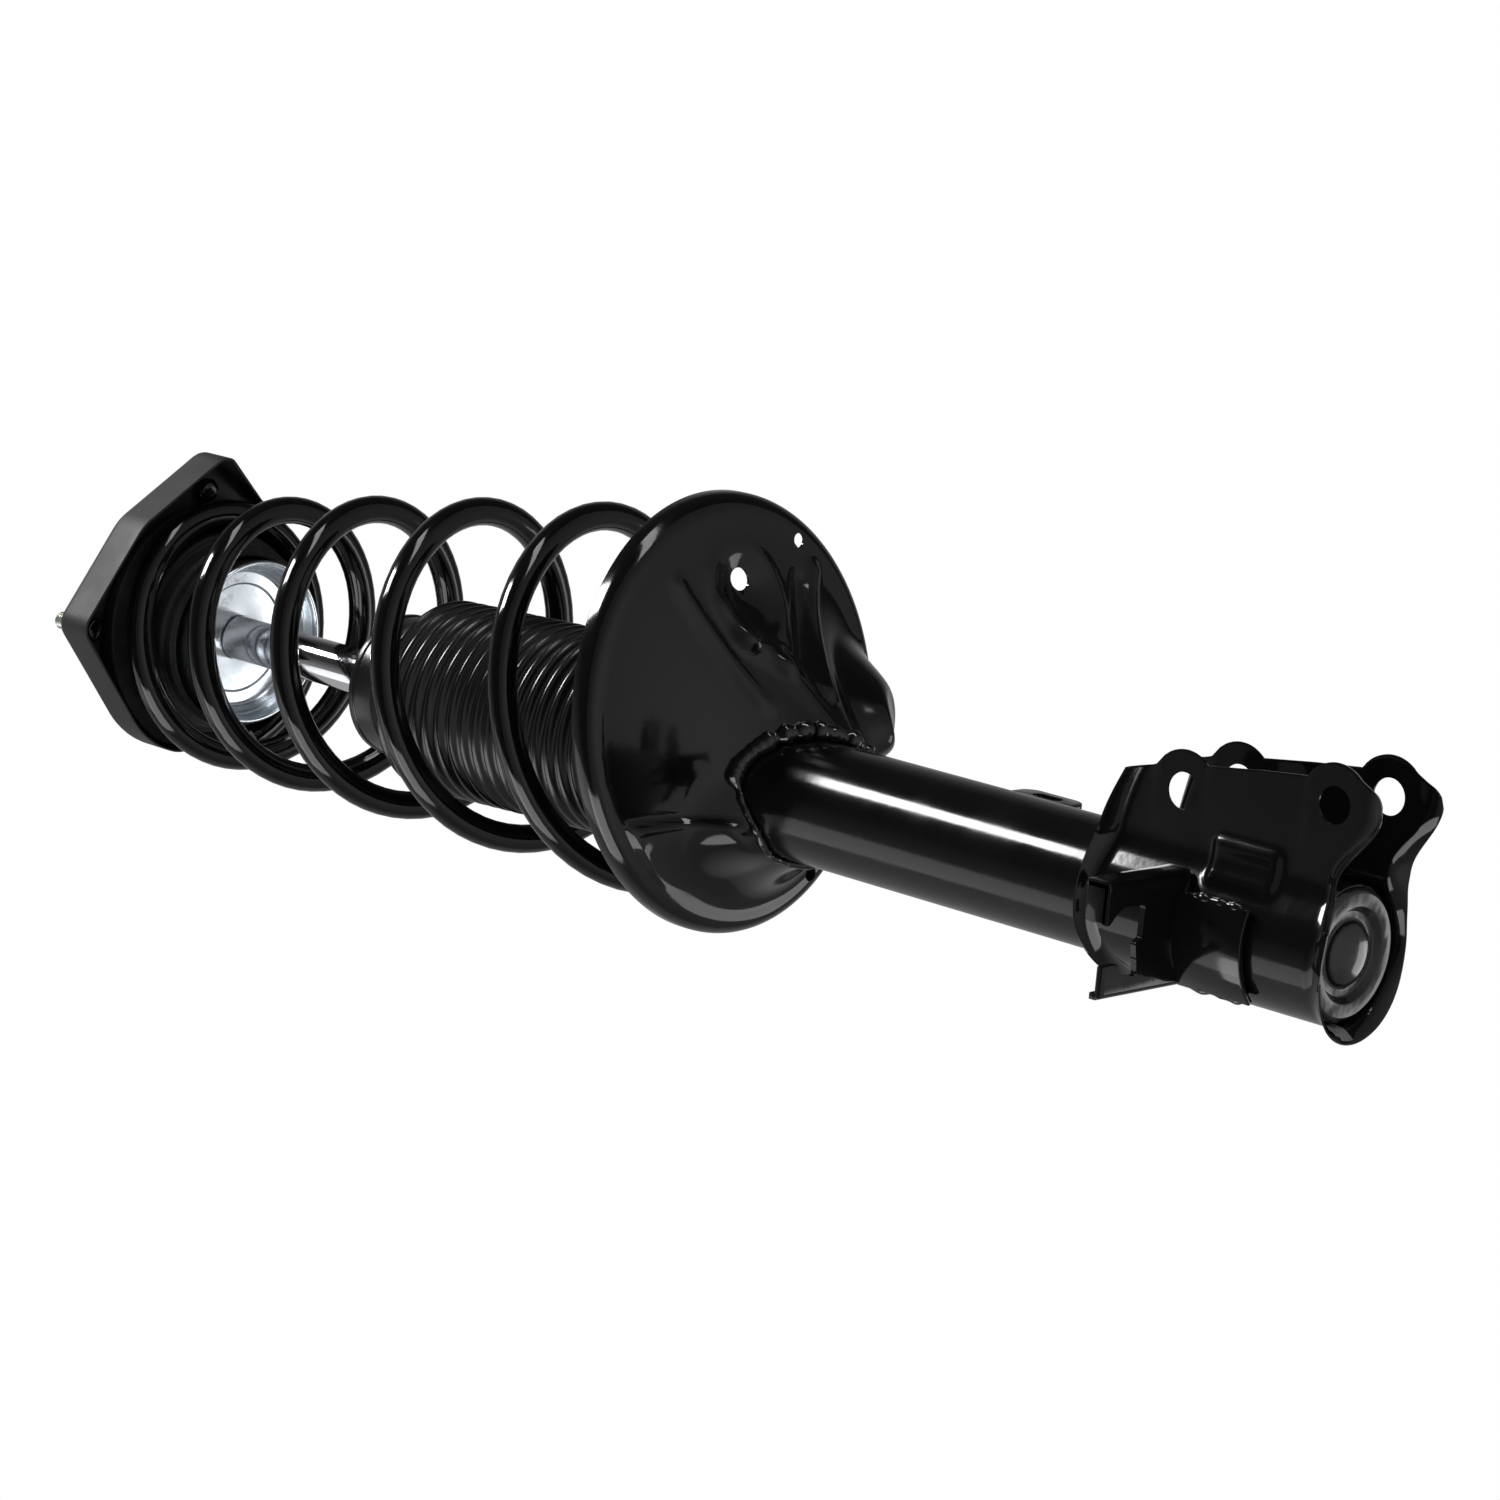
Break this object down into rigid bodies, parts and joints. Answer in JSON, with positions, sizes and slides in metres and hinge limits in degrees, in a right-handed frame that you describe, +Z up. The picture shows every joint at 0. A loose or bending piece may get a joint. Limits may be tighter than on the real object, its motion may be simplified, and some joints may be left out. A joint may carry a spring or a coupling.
{
  "type": "suspension strut",
  "caption": "Rear suspension strut with conical coil spring, three-stud top mount, ribbed dust boot, offset spring pan and two-ear knuckle bracket that slide on the piston rod.",
  "frame": {"origin": "on the strut's axis, in the top face of the mount plate", "axes": "+Z up along the piston rod, towards the car body; +X towards the ears of the knuckle bracket; -Y towards the hose bracket"},
  "size_m": [0.1786, 0.1786, 0.7012],
  "materials": {
    "gloss_coat": "gloss black dip coat",
    "satin_coat": "satin black",
    "rubber": "matte",
    "zinc": "bright zinc plate",
    "chrome": "polished hard chrome",
    "steel": "bare",
    "sintered_iron": "sintered",
    "piston_band": "filled plastic"
  },
  "bodies": {
    "upper_mount": {"mount_plate": "satin_coat", "mount_stud_1": "zinc", "mount_stud_2": "zinc", "mount_stud_3": "zinc", "mount_rubber": "rubber", "mount_inner_sleeve": "steel", "top_washer": "zinc", "rod_nut": "zinc", "upper_spring_pad": "rubber", "bump_cup": "zinc", "piston_rod": "chrome", "rebound_stop": "rubber", "upper_valve_disc": "steel", "piston": "sintered_iron", "piston_ring": "piston_band", "lower_valve_disc": "steel", "piston_nut": "steel", "coil_spring": "gloss_coat"},
    "lower_strut": {"strut_tube": "gloss_coat", "striker_cap": "zinc", "oil_seal": "rubber", "rod_guide": "sintered_iron", "guide_bush": "steel", "pressure_tube": "steel", "base_valve_body": "sintered_iron", "base_valve_disc": "steel", "bottom_cap": "gloss_coat", "lower_spring_seat": "gloss_coat", "knuckle_bracket": "gloss_coat", "hose_bracket": "gloss_coat", "line_tab": "gloss_coat", "bump_stop": "rubber", "dust_boot": "rubber"}
  },
  "joints": [
    {"name": "strut_travel", "type": "slide", "parent": "upper_mount", "child": "lower_strut", "axis": [0, 0, 1], "range_m": [0, 0.102], "stiffness_N_per_m": 20000, "deforming": ["coil_spring"]}
  ]
}
